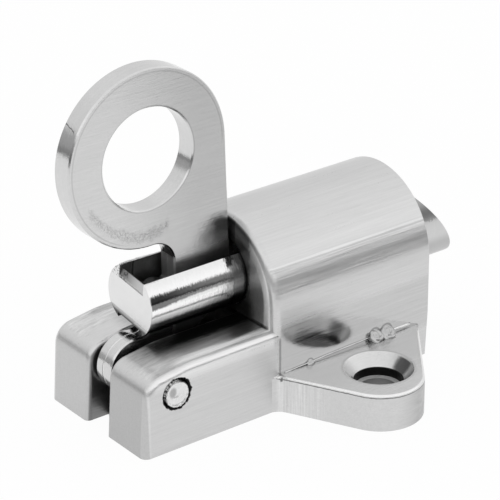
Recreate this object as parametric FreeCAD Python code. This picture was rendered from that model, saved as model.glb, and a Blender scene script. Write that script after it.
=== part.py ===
"""Spring loaded slide bolt with a pull ring, for screwing to a flat door, lid or gate.

A round bolt slides lengthways through the arched end of a cast housing. Its nose has a slanted face.
Inside the arch a coil spring, wound round the bolt's thinner stem, pushes the nose out. The stem comes
out of the back of the arch, where a slot runs through it. The leg of a flat pull ring stands in that
slot and turns on a cross pin between the two cheeks of the housing. Pulling the ring back makes the
heel of the leg push the end wall of the stem, and that draws the nose in.

Frame: the origin lies on the mounting plane, midway between the two screw holes. +X is the way the
bolt comes out, +Z points away from the mounting plane. All lengths are in millimetres.
"""

import FreeCAD
import Part
import math
import os

from FreeCAD import Vector

# Screw holes and the two flanges that carry them
screw_spacing = 42.8
screw_hole_r = 3.1
screw_seat_r = 4.05
screw_seat_z = 2.8
countersink_r = 5.8
countersink_depth = 2.2
flange_thickness = 6.5
flange_nose_r = 7.4
flange_nose_x = -1.4
flange_nose_out = 9.9
flange_rear_x = -14.8
flange_front_x = 15.6
flange_rear_root_r = 2.8
flange_front_root_r = 1.0
flange_sink = 0.1
flange_rim_r = 0.45

# Arched end of the housing
body_half_width = 13.3
body_height = 31.3
body_front_x = 17.8
front_lean = 0.55
front_lean_z = 11.0
arch_length = 33.0
arch_rim_r = 1.3
arch_front_chamfer = 0.15
rear_wall = 4.2
bore_mouth_chamfer = 0.4

# Cheeks that hold the cross pin, and the channel between them
cheek_length = 26.1
cheek_top_z = 14.3
cheek_corner_z = 13.1
cheek_lean = 0.9
cheek_slope_length = 9.0
cheek_corner_r = 3.5
cheek_crest_r = 20.0
cheek_edge_r = 1.3
channel_half_width = 2.77
channel_edge_r = 0.9

# Cross pin, staked in the cheeks
pin_r = 2.4
pin_setback = 6.6
pin_z = 9.9
pin_fit = 0.02
pin_recess = 0.25
pin_chamfer = 0.25
pin_dent_r = 0.9
pin_dent_depth = 0.25
pin_hole_mouth = 0.4

# Bolt: stem behind, nose in front. Its own heights are measured from its axis, before the roll
bolt_axis_z = 20.9
bolt_roll = 8.0
stem_r = 6.0
stem_fit = 0.08
stem_tail = 18.9
nose_r = 9.15
nose_fit = 0.08
nose_guide_length = 8.8
nose_tip_out = 11.5
bevel_top_in = 1.52
bevel_middle_out = 7.27
bevel_foot_out = 11.87
shoulder_chamfer = 0.4
end_wall = 2.6
end_wall_rear_z = 2.65
end_wall_crest_x = 0.6
end_wall_crest_z = 4.15
end_wall_front_z = 2.2
end_bevel_z = 3.0
end_bevel_depth = 0.54
slot_play = 1.35
slot_overrun = 1.4
slot_edge = 0.2
groove_ceiling = 4.15

# Pull lever: ring, leg, heel and eye in one flat plate. Its heel and foot are placed from the pin
plate = 3.9
plate_edge_chamfer = 0.25
ring_outer_r = 14.97
ring_inner_r = 8.53
ring_foot_z = 30.23
ring_setback = 0.58
leg_width = 11.05
leg_stop_gap = 0.35
leg_stop_z = 25.0
notch_r = 3.9
heel_height = 10.5
heel_r = 2.4
heel_gap = 0.2
heel_fillet_r = 0.6
eye_r = 5.0
eye_fit = 0.05
neck_fillet_r = 2.0
foot_angle = 38.0
foot_corner_r = 8.0
swing = 60.0

# Coil spring round the stem
wire_d = 1.2
wire_flats = 8
spring_turns = 5.5
end_turns = 0.75
end_pitch = 1.7
spring_seat_gap = 0.05

# Places worked out from the sizes above
arch_rear_x = body_front_x - arch_length
cheek_rear_x = arch_rear_x - cheek_length
arch_centre_z = body_height - body_half_width
screw_y = screw_spacing / 2
flange_nose_y = body_half_width + flange_nose_out
pin_x = cheek_rear_x + pin_setback
stem_bore_r = stem_r + stem_fit
nose_bore_r = nose_r + nose_fit
bore_floor_x = arch_rear_x + rear_wall
nose_rear_x = body_front_x - nose_guide_length
nose_tip_x = body_front_x + nose_tip_out
bolt_rear_x = arch_rear_x - stem_tail
wall_front_x = bolt_rear_x + end_wall
slot_front_x = arch_rear_x + slot_overrun
slot_half_width = plate / 2 + slot_play
leg_front_x = arch_rear_x - leg_stop_gap
leg_rear_x = leg_front_x - leg_width
ring_x = leg_front_x - ring_setback - ring_outer_r
ring_z = ring_foot_z + ring_outer_r
heel_x = wall_front_x + heel_gap + heel_r
heel_z = pin_z + heel_height
wire_corner_r = wire_d / 2 * math.sqrt(2 * math.pi / wire_flats / math.sin(2 * math.pi / wire_flats))

# For cutters: a length that reaches past everything, and a short run past the face that is cut
beyond = 100.0
past_face = 1.0

# Lengths under this count as nothing when faces and edges are compared
tiny = 1e-3

Z_AXIS = Vector(0, 0, 1)
X_AXIS = Vector(1, 0, 0)
Y_AXIS = Vector(0, 1, 0)


def polar(centre, radius, degrees):
    """Point of a circle in a flat (a, b) plane."""
    angle = math.radians(degrees)
    return (centre[0] + radius * math.cos(angle), centre[1] + radius * math.sin(angle))


def bearing(start, end):
    """Direction from one flat point to another, in degrees."""
    return math.degrees(math.atan2(end[1] - start[1], end[0] - start[0]))


def crossing(p, p_degrees, q, q_degrees):
    """Where the line through p at one direction meets the line through q at another."""
    px, py = math.cos(math.radians(p_degrees)), math.sin(math.radians(p_degrees))
    qx, qy = math.cos(math.radians(q_degrees)), math.sin(math.radians(q_degrees))
    along = ((q[0] - p[0]) * qy - (q[1] - p[1]) * qx) / (px * qy - py * qx)
    return (p[0] + px * along, p[1] + py * along)


def centre_through(p, q, r):
    """Centre of the circle through three flat points."""
    ax, ay = q[0] - p[0], q[1] - p[1]
    bx, by = r[0] - p[0], r[1] - p[1]
    a_square, b_square = ax * ax + ay * ay, bx * bx + by * by
    twice_area = 2 * (ax * by - ay * bx)
    return (
        p[0] + (by * a_square - ay * b_square) / twice_area,
        p[1] + (ax * b_square - bx * a_square) / twice_area,
    )


def on_xz(point):
    """A flat (a, b) point set in the X and Z directions."""
    return Vector(point[0], 0, point[1])


def on_xy(point):
    """A flat (a, b) point set in the X and Y directions."""
    return Vector(point[0], point[1], 0)


def on_yz(point):
    """A flat (a, b) point set in the Y and Z directions."""
    return Vector(0, point[0], point[1])


class Outline:
    """A closed flat outline of lines and arcs, drawn point by point and set in one of the planes."""

    def __init__(self, start, place):
        self.start = start
        self.here = start
        self.place = place
        self.edges = []

    def line(self, to):
        self.edges.append(Part.LineSegment(self.place(self.here), self.place(to)).toShape())
        self.here = to

    def arc(self, centre, to, turn):
        """Arc about a centre to a point, turn +1 for anticlockwise and -1 for clockwise."""
        radius = math.dist(centre, to)
        first = bearing(centre, self.here)
        sweep = (turn * (bearing(centre, to) - first)) % 360.0
        middle = polar(centre, radius, first + turn * sweep / 2)
        self.edges.append(Part.Arc(self.place(self.here), self.place(middle), self.place(to)).toShape())
        self.here = to

    def rounded_corner(self, corner, to, radius):
        """Line towards a corner and an arc that rounds it. The next call goes on from there."""
        inward = bearing(self.here, corner)
        outward = bearing(corner, to)
        turn = (outward - inward + 180.0) % 360.0 - 180.0
        reach = radius * math.tan(math.radians(abs(turn) / 2))
        begin = polar(corner, -reach, inward)
        end = polar(corner, reach, outward)
        side = math.copysign(1.0, turn)
        centre = polar(begin, radius, inward + 90.0 * side)
        self.line(begin)
        self.arc(centre, end, side)

    def face(self):
        if math.dist(self.here, self.start) > 1e-6:
            self.line(self.start)
        return Part.Face(Part.Wire(Part.sortEdges(self.edges)[0]))


def edges_where(shape, test):
    """The edges of a shape whose middle point and ends pass a test."""
    chosen = []
    for edge in shape.Edges:
        middle = edge.valueAt((edge.FirstParameter + edge.LastParameter) / 2)
        if test(middle, [vertex.Point for vertex in edge.Vertexes]):
            chosen.append(edge)
    return chosen


def near(a, b):
    return abs(a - b) < tiny


def single(shape):
    """The one solid of a cut or fused shape, with split faces joined."""
    clean = shape.removeSplitter()
    assert len(clean.Solids) == 1, "expected one solid, found %d" % len(clean.Solids)
    return clean.Solids[0]


def across(outline, width=beyond):
    """An outline in the X and Z directions drawn out to both sides of the middle plane."""
    solid = outline.face().extrude(Y_AXIS * width)
    solid.translate(-Y_AXIS * width / 2)
    return solid


def arched_end():
    """The block with the round top, before its bore. Its front face leans back a little low down."""
    outline = Outline((-body_half_width, 0), on_yz)
    outline.line((body_half_width, 0))
    outline.line((body_half_width, arch_centre_z))
    outline.arc((0, arch_centre_z), (-body_half_width, arch_centre_z), 1)
    block = outline.face().extrude(X_AXIS * arch_length)
    block.translate(X_AXIS * arch_rear_x)
    rear_rim = edges_where(block, lambda m, ends: near(m.x, arch_rear_x) and m.z > tiny)
    block = block.makeFillet(arch_rim_r, rear_rim)
    front_rim = edges_where(block, lambda m, ends: near(m.x, body_front_x) and m.z > tiny)
    block = block.makeChamfer(arch_front_chamfer, front_rim)
    lean = Outline((body_front_x, front_lean_z), on_xz)
    lean.line((body_front_x - front_lean, 0))
    lean.line((body_front_x - front_lean, -past_face))
    lean.line((body_front_x + past_face, -past_face))
    lean.line((body_front_x + past_face, front_lean_z))
    return block.cut(across(lean))


def cheek_block():
    """Both cheeks as one block, run a little way into the arched end."""
    overlap = 2 * arch_rim_r
    outline = Outline((cheek_rear_x, 0), on_xz)
    corner = (cheek_rear_x + cheek_lean, cheek_corner_z)
    crest = (cheek_rear_x + cheek_slope_length, cheek_top_z)
    outline.rounded_corner(corner, crest, cheek_corner_r)
    outline.rounded_corner(crest, (arch_rear_x, cheek_top_z), cheek_crest_r)
    outline.line((arch_rear_x + overlap, cheek_top_z))
    outline.line((arch_rear_x + overlap, 0))
    block = across(outline, 2 * body_half_width)

    def shoulder(m, ends):
        return near(abs(m.y), body_half_width) and m.z > tiny and m.x < arch_rear_x + overlap - tiny

    return block.makeFillet(cheek_edge_r, edges_where(block, shoulder))


def channel_cutter():
    """The gap between the cheeks that the lever swings in."""
    gap = Part.makeBox(beyond, 2 * channel_half_width, beyond)
    gap.translate(Vector(arch_rear_x - beyond, -channel_half_width, -beyond / 2))
    return gap


def flange(side):
    """One screw flange, a rounded nose drawn out from the wall. Side is +1 or -1."""
    centre = (flange_nose_x, flange_nose_y * side)
    root_y = (body_half_width - flange_sink) * side
    inner_y = root_y - 3 * flange_rim_r * side
    rear = (flange_rear_x, root_y)
    front = (flange_front_x, root_y)
    behind = flange_rear_x - flange_rear_root_r
    ahead = flange_front_x + flange_front_root_r

    def touch(point, turn):
        reach = math.dist(point, centre)
        spread = math.degrees(math.acos(flange_nose_r / reach))
        return polar(centre, flange_nose_r, bearing(centre, point) + turn * spread)

    outline = Outline((behind, inner_y), on_xy)
    outline.line((behind, root_y))
    outline.rounded_corner(rear, touch(rear, -side), flange_rear_root_r)
    outline.line(touch(rear, -side))
    outline.arc(centre, touch(front, side), -side)
    outline.rounded_corner(front, (ahead, root_y), flange_front_root_r)
    outline.line((ahead, root_y))
    outline.line((ahead, inner_y))
    solid = outline.face().extrude(Z_AXIS * flange_thickness)

    def rim(m, ends):
        return near(m.z, flange_thickness) and abs(m.y) > body_half_width - flange_sink - tiny

    return solid.makeFillet(flange_rim_r, edges_where(solid, rim))


def screw_cutter(side):
    """Stepped screw hole: through hole, flat seat for the head, and a flared mouth."""
    mouth_z = flange_thickness - countersink_depth
    through = Part.makeCylinder(screw_hole_r, beyond, Vector(0, 0, -beyond / 2))
    seat = Part.makeCylinder(screw_seat_r, beyond, Vector(0, 0, screw_seat_z))
    flare = Part.makeCone(screw_seat_r, countersink_r, countersink_depth, Vector(0, 0, mouth_z))
    cutter = through.fuse([seat, flare])
    cutter.translate(Y_AXIS * screw_y * side)
    return cutter


def bolt_bores():
    """Bore for the nose and spring from the front, and the smaller hole for the stem behind it."""
    mouth_r = nose_bore_r + bore_mouth_chamfer
    axis = Vector(0, 0, bolt_axis_z)
    big = Part.makeCylinder(nose_bore_r, beyond, axis + X_AXIS * bore_floor_x, X_AXIS)
    small = Part.makeCylinder(stem_bore_r, beyond, axis + X_AXIS * (bore_floor_x - beyond / 2), X_AXIS)
    mouth = Part.makeCone(
        nose_bore_r, mouth_r, bore_mouth_chamfer,
        axis + X_AXIS * (body_front_x - bore_mouth_chamfer), X_AXIS,
    )
    return [big, small, mouth]


def pin_bores():
    """Cross hole through both cheeks, with a small flare at each outer face."""
    radius = pin_r + pin_fit
    hole = Part.makeCylinder(radius, beyond, Vector(pin_x, -beyond / 2, pin_z), Y_AXIS)
    cutters = [hole]
    for side in (-1, 1):
        start = Vector(pin_x, side * (body_half_width - pin_hole_mouth), pin_z)
        cutters.append(Part.makeCone(radius, radius + pin_hole_mouth, pin_hole_mouth, start, Y_AXIS * side))
    return cutters


def make_housing():
    body = arched_end().fuse(cheek_block())
    body = single(body.fuse([flange(1), flange(-1)]).cut(channel_cutter()))

    def channel_edge(m, ends):
        return near(abs(m.y), channel_half_width) and m.z > tiny and m.x < arch_rear_x - tiny

    body = body.makeFillet(channel_edge_r, edges_where(body, channel_edge))
    cutters = [screw_cutter(1), screw_cutter(-1)] + bolt_bores() + pin_bores()
    return single(body.cut(cutters))


def make_bolt():
    """Nose and stem on one axis, with the bevel, the slot, the end wall and the groove under it."""
    stem_length = nose_rear_x - bolt_rear_x + past_face
    stem = Part.makeCylinder(stem_r, stem_length, Vector(bolt_rear_x, 0, 0), X_AXIS)
    nose = Part.makeCylinder(nose_r, nose_tip_x - nose_rear_x, Vector(nose_rear_x, 0, 0), X_AXIS)
    rear_edge = edges_where(nose, lambda m, ends: near(m.x, nose_rear_x) and len(ends) == 1)
    nose = nose.makeChamfer(shoulder_chamfer, rear_edge)
    bar = single(stem.fuse(nose))

    top = (body_front_x - bevel_top_in, nose_r)
    middle = (body_front_x + bevel_middle_out, 0)
    foot = (body_front_x + bevel_foot_out, -nose_r)
    bevel = Outline((top[0], 2 * nose_r), on_xz)
    bevel.line(top)
    bevel.arc(centre_through(top, middle, foot), foot, -1)
    bevel.line((foot[0], -2 * nose_r))
    bevel.line((beyond, -2 * nose_r))
    bevel.line((beyond, 2 * nose_r))

    slot = Part.makeBox(slot_front_x - wall_front_x, 2 * slot_half_width, beyond)
    slot.translate(Vector(wall_front_x, -slot_half_width, -beyond / 2))

    behind = bolt_rear_x - past_face
    over_wall = Outline((behind, end_wall_rear_z), on_xz)
    over_wall.line((bolt_rear_x, end_wall_rear_z))
    over_wall.line((bolt_rear_x + end_wall_crest_x, end_wall_crest_z))
    over_wall.line((wall_front_x, end_wall_front_z))
    over_wall.line((wall_front_x + past_face, end_wall_front_z))
    over_wall.line((wall_front_x + past_face, beyond))
    over_wall.line((behind, beyond))

    groove = Part.makeBox(wall_front_x + past_face - behind, 2 * slot_half_width, beyond)
    groove.translate(Vector(behind, -slot_half_width, -groove_ceiling - beyond))

    end_bevel = Outline((bolt_rear_x, -end_bevel_z), on_xz)
    end_bevel.line((bolt_rear_x + end_bevel_depth, -stem_r))
    end_bevel.line((bolt_rear_x + end_bevel_depth, -2 * stem_r))
    end_bevel.line((behind, -2 * stem_r))
    end_bevel.line((behind, -end_bevel_z))

    cutters = [across(bevel), slot, across(over_wall, 2 * slot_half_width), groove, across(end_bevel)]
    bolt = single(bar.cut(cutters))

    def slot_rim(m, ends):
        return near(abs(m.y), slot_half_width) and all(p.z > end_wall_crest_z for p in ends)

    bolt = bolt.makeChamfer(slot_edge, edges_where(bolt, slot_rim))
    bolt.rotate(Vector(0, 0, 0), X_AXIS, bolt_roll)
    bolt.translate(Z_AXIS * bolt_axis_z)
    return bolt


def lever_outline():
    """Outer edge of the pull lever, anticlockwise from where the leg's front edge meets the ring."""
    pin = (pin_x, pin_z)
    ring = (ring_x, ring_z)
    heel = (heel_x, heel_z)
    stop = (leg_front_x, leg_stop_z)

    stop_reach = math.dist(stop, ring)
    front_touch = polar(
        ring, ring_outer_r, bearing(ring, stop) + math.degrees(math.acos(ring_outer_r / stop_reach)))
    front_bearing = bearing(front_touch, stop)

    notch_x = leg_rear_x - notch_r
    notch = (notch_x, ring_z - math.sqrt((ring_outer_r + notch_r) ** 2 - (notch_x - ring_x) ** 2))
    ring_touch = polar(ring, ring_outer_r, bearing(ring, notch))

    bend_x = leg_rear_x - heel_fillet_r
    bend = (bend_x, heel_z + math.sqrt((heel_r + heel_fillet_r) ** 2 - (bend_x - heel_x) ** 2))
    heel_touch = polar(heel, heel_r, bearing(heel, bend))

    neck_x = heel_x - heel_r
    crook_x = neck_x - neck_fillet_r
    crook = (crook_x, pin_z + math.sqrt((eye_r + neck_fillet_r) ** 2 - (crook_x - pin_x) ** 2))
    eye_touch = polar(pin, eye_r, bearing(pin, crook))

    foot_touch = polar(pin, eye_r, foot_angle - 90.0)
    foot_corner = crossing(foot_touch, foot_angle, stop, front_bearing)

    outline = Outline(front_touch, on_xz)
    outline.arc(ring, ring_touch, 1)
    outline.arc(notch, (leg_rear_x, notch[1]), -1)
    outline.line((leg_rear_x, bend[1]))
    outline.arc(bend, heel_touch, -1)
    outline.arc(heel, (neck_x, heel_z), 1)
    outline.line((neck_x, crook[1]))
    outline.arc(crook, eye_touch, -1)
    outline.arc(pin, foot_touch, 1)
    outline.rounded_corner(foot_corner, front_touch, foot_corner_r)
    return outline


def make_lever():
    blank = across(lever_outline(), plate)
    ring_hole = Part.makeCylinder(ring_inner_r, beyond, Vector(ring_x, -beyond / 2, ring_z), Y_AXIS)
    plate_with_hole = single(blank.cut(ring_hole))
    rims = edges_where(plate_with_hole, lambda m, ends: near(abs(m.y), plate / 2))
    eased = plate_with_hole.makeChamfer(plate_edge_chamfer, rims)
    pin_hole = Part.makeCylinder(pin_r + eye_fit, beyond, Vector(pin_x, -beyond / 2, pin_z), Y_AXIS)
    return single(eased.cut(pin_hole))


def make_pin():
    """Round pin just below the cheek faces, with a small dent in each end from staking."""
    half_length = body_half_width - pin_recess
    pin = Part.makeCylinder(pin_r, 2 * half_length, Vector(pin_x, -half_length, pin_z), Y_AXIS)
    ends = edges_where(pin, lambda m, points: near(abs(m.y), half_length))
    pin = pin.makeChamfer(pin_chamfer, ends)
    dents = []
    for side in (-1, 1):
        mouth = Vector(pin_x, side * half_length, pin_z)
        dents.append(Part.makeCone(pin_dent_r, 0, pin_dent_depth, mouth, -Y_AXIS * side))
    return single(pin.cut(dents))


def arc_between(start, apex, end):
    """Arc that leaves start towards apex and arrives at end from it, both the same way off."""
    middle_chord = (start + end) * 0.5
    inward = middle_chord - apex
    reach = (start - apex).Length
    radius = reach * (start - middle_chord).Length / inward.Length
    to_centre = reach * reach / inward.Length
    middle = apex + inward * ((to_centre - radius) / inward.Length)
    return Part.Arc(start, middle, end)


def biarc(p0, t0, p1, t1):
    """Two arcs in a row that leave p0 along t0 and reach p1 along t1."""
    chord = p1 - p0
    both = t0 + t1
    a = both.dot(both) - 4.0
    b = -2.0 * chord.dot(both)
    c = chord.dot(chord)
    reach = (-b - math.sqrt(b * b - 4.0 * a * c)) / (2.0 * a)
    first_apex = p0 + t0 * reach
    second_apex = p1 - t1 * reach
    joint = (first_apex + second_apex) * 0.5
    return [arc_between(p0, first_apex, joint), arc_between(joint, second_apex, p1)]


def spring_station(turn, start_x, length):
    """Point and direction of the wire's centre line after so many turns: close at both ends."""
    mean_r = (stem_r + nose_bore_r) / 2
    open_turns = spring_turns - 2 * end_turns
    open_pitch = (length - 2 * end_turns * end_pitch) / open_turns
    if turn <= end_turns:
        along, pitch = turn * end_pitch, end_pitch
    elif turn >= spring_turns - end_turns:
        along, pitch = length - (spring_turns - turn) * end_pitch, end_pitch
    else:
        along, pitch = end_turns * end_pitch + (turn - end_turns) * open_pitch, open_pitch
    at_bend = near(turn, end_turns) or near(turn, spring_turns - end_turns)
    if at_bend:
        pitch = (end_pitch + open_pitch) / 2
    angle = 2 * math.pi * turn
    point = Vector(start_x + along, mean_r * math.cos(angle), bolt_axis_z + mean_r * math.sin(angle))
    around = 2 * math.pi * mean_r
    direction = Vector(pitch, -around * math.sin(angle), around * math.cos(angle))
    return point, direction.normalize()


def wire_section(start, direction):
    """Cross-section of the spring's wire: a polygon with the area of the round wire."""
    step = 2 * math.pi / wire_flats
    outward = direction.cross(X_AXIS).normalize()
    upward = direction.cross(outward)
    corners = []
    for flat in range(wire_flats + 1):
        angle = step * (flat + 0.5)
        corners.append(start + (outward * math.cos(angle) + upward * math.sin(angle)) * wire_corner_r)
    return Part.makePolygon(corners)


def make_spring():
    """Compression spring between the bore's floor and the shoulder of the nose."""
    margin = wire_corner_r + spring_seat_gap
    start_x = bore_floor_x + margin
    length = nose_rear_x - margin - start_x
    quarters = int(round(spring_turns * 4))
    arcs = []
    for step in range(quarters):
        p0, t0 = spring_station(step / 4, start_x, length)
        p1, t1 = spring_station((step + 1) / 4, start_x, length)
        arcs += biarc(p0, t0, p1, t1)
    path = Part.Wire([arc.toShape() for arc in arcs])
    p0, t0 = spring_station(0, start_x, length)
    spring = path.makePipeShell([wire_section(p0, t0)], True, False)
    print("spring gap to itself %.2f mm" % least_gap(arcs, quarters))
    expected = math.pi * (wire_d / 2) ** 2 * path.Length
    print("spring volume %.2f mm3, section times length %.2f mm3" % (spring.Volume, expected))
    return spring.Solids[0] if spring.Solids else Part.Solid(spring)


def least_gap(arcs, quarters):
    """Least gap between turns of the wire, measured on points at least half a turn apart."""
    per_arc = 6
    points = []
    for arc in arcs:
        span = arc.LastParameter - arc.FirstParameter
        points += [arc.value(arc.FirstParameter + span * k / per_arc) for k in range(per_arc)]
    half_turn = per_arc * len(arcs) * 2 // quarters
    least = beyond
    for i in range(len(points)):
        for j in range(i + half_turn, len(points)):
            least = min(least, points[i].distanceToPoint(points[j]))
    return least - 2 * wire_corner_r


def report_travel():
    """Print how far the heel draws the bolt and how evenly, and the gap left at the wall."""
    heel_in = heel_x - pin_x

    def heel_position(degrees):
        angle = math.radians(degrees)
        return heel_in * math.cos(angle) - heel_height * math.sin(angle) - heel_r

    travel = heel_position(0) - heel_position(swing)
    ratio = travel / math.radians(swing)
    gaps = []
    for step in range(0, int(swing) + 1):
        wall = wall_front_x - pin_x - ratio * math.radians(step)
        gaps.append(heel_position(step) - wall)
    print("bolt travel %.3f mm over %.1f degrees" % (travel, swing))
    print("%.3f mm for each radian, %.2f radians for each metre" % (ratio, 1000 / ratio))
    print("gap between heel and end wall %.2f to %.2f mm" % (min(gaps), max(gaps)))


def main():
    os.makedirs("parts", exist_ok=True)
    pieces = {
        "housing": make_housing(),
        "slide_bolt": make_bolt(),
        "pull_lever": make_lever(),
        "cross_pin": make_pin(),
        "compression_spring": make_spring(),
    }
    for name, shape in pieces.items():
        assert shape.isValid(), name + " is not valid"
        shape.exportStep("parts/%s.step" % name)
        box = shape.BoundBox
        print("%-20s volume %9.1f mm3, x %.1f to %.1f, y %.1f to %.1f, z %.1f to %.1f" % (
            name, shape.Volume, box.XMin, box.XMax, box.YMin, box.YMax, box.ZMin, box.ZMax))
    report_travel()


main()
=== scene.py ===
# %% [markdown]
# # A spring loaded slide bolt in brushed and polished plating
# The real object is a small latch: a casting that is screwed to a door, a round sprung bolt, a flat pull
# ring on a lever, the cross pin that the lever turns on, and a coil spring inside. The packed model holds
# the sizes and the joints. This script gives every surface its finish and adds the fine shapes that a
# casting and a staked pin have. Lengths are written in millimetres, in the frame of the packed model, whose
# unit is the metre, so they are multiplied by MM before they reach a mesh, the camera or a joint.

import bmesh
import bpy
import numpy as np
from mathutils import Matrix, Vector


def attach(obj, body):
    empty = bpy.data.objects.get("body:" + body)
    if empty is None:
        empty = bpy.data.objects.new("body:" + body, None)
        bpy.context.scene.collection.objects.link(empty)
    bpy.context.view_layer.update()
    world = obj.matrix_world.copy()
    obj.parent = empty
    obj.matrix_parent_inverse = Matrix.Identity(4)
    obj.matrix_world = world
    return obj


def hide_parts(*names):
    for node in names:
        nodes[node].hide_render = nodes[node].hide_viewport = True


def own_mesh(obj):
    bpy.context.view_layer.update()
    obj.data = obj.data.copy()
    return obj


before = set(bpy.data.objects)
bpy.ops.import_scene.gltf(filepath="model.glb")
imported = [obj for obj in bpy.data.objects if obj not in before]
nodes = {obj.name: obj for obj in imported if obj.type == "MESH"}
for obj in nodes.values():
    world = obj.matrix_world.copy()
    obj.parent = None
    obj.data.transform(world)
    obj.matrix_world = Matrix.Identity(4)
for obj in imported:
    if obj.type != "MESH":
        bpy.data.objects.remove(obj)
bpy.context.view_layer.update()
MM = 0.001

# %% [markdown]
# ## The camera
# The photograph was taken from behind and above the latch with a long lens. The direction, the focal
# length and the distance were fitted to corners of the object, so the camera is placed from those values:
# it looks along one direction, and its place is the target plus a step back and a small step sideways.

# %% Camera at the photograph's place
CAMERA_AZIMUTH = np.radians(37.413)
CAMERA_ELEVATION = np.radians(25.507)
CAMERA_ROLL = np.radians(-0.363)
CAMERA_TARGET = np.array([-16.0, 0.0, 22.0]) * MM
CAMERA_BACK = 397.4 * MM
CAMERA_ASIDE = np.array([4.799, 2.207]) * MM
FOCAL_PIXELS = 2436.2
PICTURE_PIXELS = 500
SENSOR = 36.0
NEAREST = 10.0 * MM
FURTHEST = 10000.0 * MM


def camera_axes():
    """Right, up and back directions of the camera: azimuth and elevation first, then the small roll."""
    sin_a, cos_a = np.sin(CAMERA_AZIMUTH), np.cos(CAMERA_AZIMUTH)
    sin_e, cos_e = np.sin(CAMERA_ELEVATION), np.cos(CAMERA_ELEVATION)
    back = np.array([-sin_a * cos_e, -cos_a * cos_e, sin_e])
    right = np.array([cos_a, -sin_a, 0.0])
    up = np.cross(back, right)
    sin_r, cos_r = np.sin(CAMERA_ROLL), np.cos(CAMERA_ROLL)
    return cos_r * right + sin_r * up, cos_r * up - sin_r * right, back


def make_camera():
    """Place: the target plus steps right, up and back. Lens: focal over picture pixels, times the sensor."""
    right, up, back = camera_axes()
    place = CAMERA_TARGET + right * CAMERA_ASIDE[0] + up * CAMERA_ASIDE[1] + back * CAMERA_BACK
    data = bpy.data.cameras.new("camera")
    data.sensor_width = SENSOR
    data.lens = FOCAL_PIXELS / PICTURE_PIXELS * SENSOR
    data.clip_start = NEAREST
    data.clip_end = FURTHEST
    camera = bpy.data.objects.new("camera", data)
    turn = Matrix((right, up, back)).transposed()
    camera.matrix_world = Matrix.Translation(Vector(place)) @ turn.to_4x4()
    bpy.context.scene.collection.objects.link(camera)
    bpy.context.scene.camera = camera
    print("camera at", np.round(place, 4), "lens %.1f mm" % data.lens)


make_camera()

# %% [markdown]
# ## Writing shader maths as Python
# A finish is mostly arithmetic: a streak pattern times a mask plus a base value. One small class wraps a
# socket of a node tree, so that + - * on it add Math nodes. The rest of the script then reads like the
# formulas that it means.

# %% Signals
class Signal:
    """One output socket. Arithmetic with numbers or other signals adds Math nodes to its tree."""

    def __init__(self, finish, socket):
        self.finish = finish
        self.socket = socket

    def _math(self, operation, first, second):
        node = self.finish.node("ShaderNodeMath", {"operation": operation}, {0: first, 1: second})
        return Signal(self.finish, node.outputs[0])

    def __add__(self, other):
        return self._math("ADD", self, other)

    def __radd__(self, other):
        return self._math("ADD", other, self)

    def __sub__(self, other):
        return self._math("SUBTRACT", self, other)

    def __rsub__(self, other):
        return self._math("SUBTRACT", other, self)

    def __mul__(self, other):
        return self._math("MULTIPLY", self, other)

    def __rmul__(self, other):
        return self._math("MULTIPLY", other, self)

    def __abs__(self):
        return self._math("ABSOLUTE", self, 0.0)

    def power(self, exponent):
        return self._math("POWER", self, exponent)

    def at_least(self, other):
        return self._math("MAXIMUM", self, other)

    def at_most(self, other):
        return self._math("MINIMUM", self, other)

    def ramp(self, low, high):
        """0 at low, 1 at high and a smooth step between. With low above high it runs the other way."""
        node = self.finish.node(
            "ShaderNodeMapRange", {"interpolation_type": "SMOOTHSTEP"},
            {"Value": self, "From Min": min(low, high), "From Max": max(low, high)})
        step = Signal(self.finish, node.outputs["Result"])
        return step if low < high else 1.0 - step

    def between(self, low, high, soft):
        """1 from low to high, falling to 0 over a soft edge outside them."""
        return self.ramp(low - soft, low) * self.ramp(high + soft, high)

    def mixed(self, low, high):
        """low where this signal is 0 and high where it is 1."""
        return (1.0 - self) * low + self * high


print("signals can be added, multiplied, ramped and mixed")

# %% [markdown]
# ## One method for every other node
# The finish holds the tree. Its method takes a node's type, the settings that must be made first, and the
# values or links of its inputs. The few patterns that this latch needs are built on it: the place of the
# shaded point in millimetres, noise with so many grains to the millimetre, bumps, and plain neutral metal.

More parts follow.
